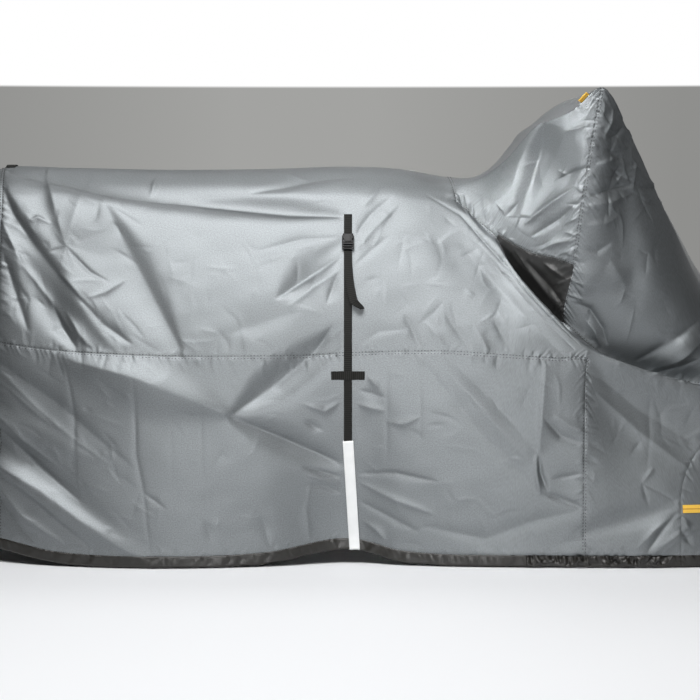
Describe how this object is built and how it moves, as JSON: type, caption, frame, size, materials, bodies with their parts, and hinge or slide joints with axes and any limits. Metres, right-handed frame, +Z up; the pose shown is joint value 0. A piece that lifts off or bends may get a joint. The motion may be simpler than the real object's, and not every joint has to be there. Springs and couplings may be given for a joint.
{
  "type": "motorcycle cover",
  "caption": "Fitted motorcycle cover of silver-grey coated cloth as it hangs over the machine, with a peaked mirror hood, black gussets and hem band, and a side strap with a buckle.",
  "frame": {"origin": "on the floor under the middle of the cover's length", "axes": "+X to the front wheel, +Y to the machine's left-hand side, +Z up"},
  "size_m": [2.3099, 0.8002, 1.1704],
  "materials": {
    "shell_cloth": "satin coated weave",
    "gusset_cloth": "black coated weave",
    "hem_tape": "black gathered band",
    "webbing": "ribbed black webbing",
    "buckle_plastic": "moulded black",
    "reflective_tape": "white retroreflective tape",
    "yellow_tape": "orange-yellow folded tape"
  },
  "bodies": {
    "root": {"buckle_plug": "buckle_plastic", "buckle_socket": "buckle_plastic", "fork_panel_left": "shell_cloth", "fork_panel_right": "shell_cloth", "front_tab": "yellow_tape", "gusset_left": "gusset_cloth", "gusset_right": "gusset_cloth", "hem_band_front": "hem_tape", "hem_band_left": "hem_tape", "hem_band_right": "hem_tape", "hood_back": "shell_cloth", "hood_flank_left": "shell_cloth", "hood_flank_right": "shell_cloth", "hood_front": "shell_cloth", "mirror_tag": "yellow_tape", "reflective_strip": "reflective_tape", "saddle_panel": "shell_cloth", "side_panel_left": "shell_cloth", "side_panel_right": "shell_cloth", "strap_anchor": "webbing", "strap_keeper": "webbing", "strap_tail": "webbing", "strap_web": "webbing", "tail_panel": "shell_cloth", "top_loop": "webbing", "wheel_patch_left": "shell_cloth", "wheel_patch_right": "shell_cloth"}
  },
  "joints": []
}
